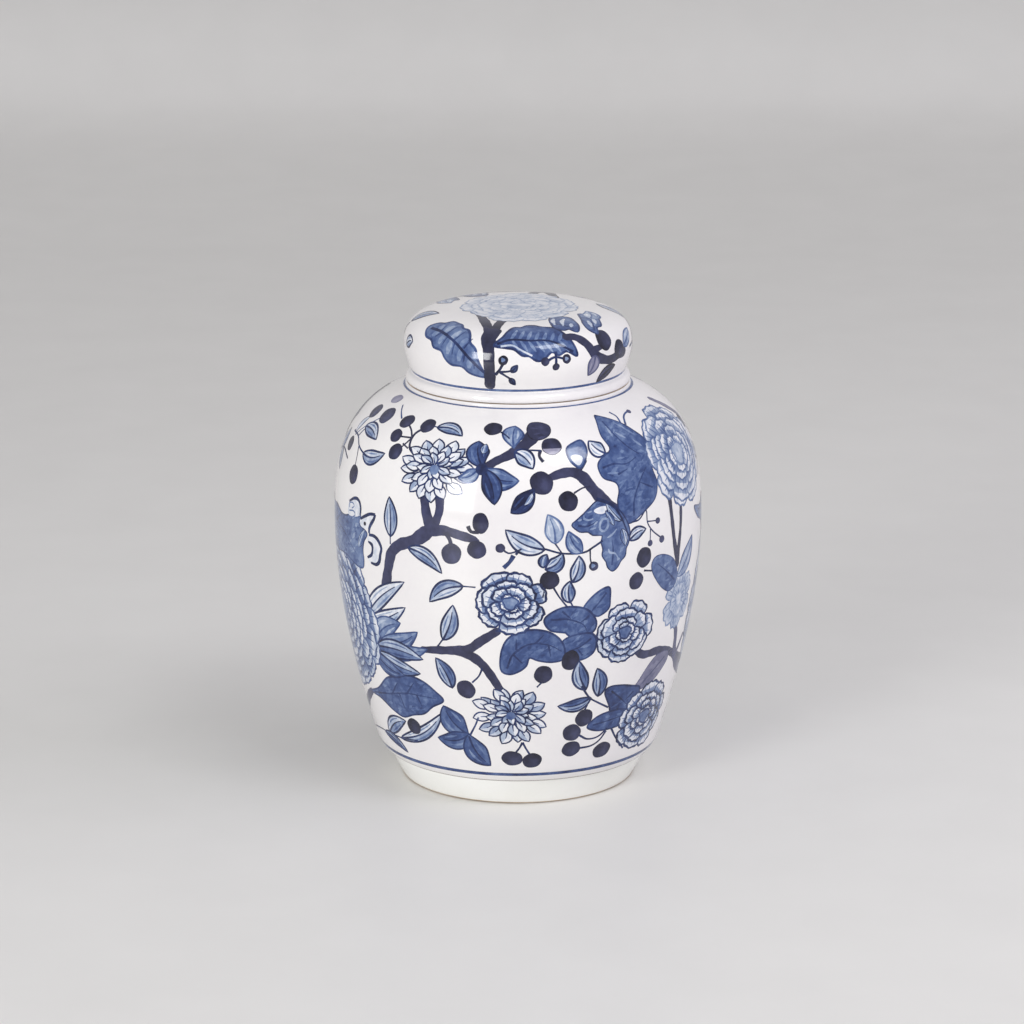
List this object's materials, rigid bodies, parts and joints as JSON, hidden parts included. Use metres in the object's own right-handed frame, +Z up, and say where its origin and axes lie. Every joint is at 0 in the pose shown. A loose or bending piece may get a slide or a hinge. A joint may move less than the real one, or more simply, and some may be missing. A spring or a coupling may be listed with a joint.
{
  "type": "ginger jar",
  "caption": "Covered porcelain ginger jar with a full-shouldered hollow body, short collar, foot ring and a lift-off domed cap lid, painted in blue with flowers and berries.",
  "frame": {"origin": "centre of the foot ring on the plane it rests on, which is the bottom centre of the bounding box", "axes": "+Z up along the jar's axis of revolution, from the foot to the crown of the lid; +X and +Y lie in the resting plane, and -Y is the front of the painted scene"},
  "size_m": [0.19, 0.19, 0.2484],
  "materials": {
    "jar_glaze": "gloss",
    "lid_glaze": "gloss"
  },
  "bodies": {
    "jar": {"jar_body": "jar_glaze"},
    "lid": {"lid": "lid_glaze"}
  },
  "joints": [
    {"name": "lid_lift", "type": "slide", "parent": "jar", "child": "lid", "axis": [0, 0, 1], "range_m": [0, 0.1]}
  ]
}
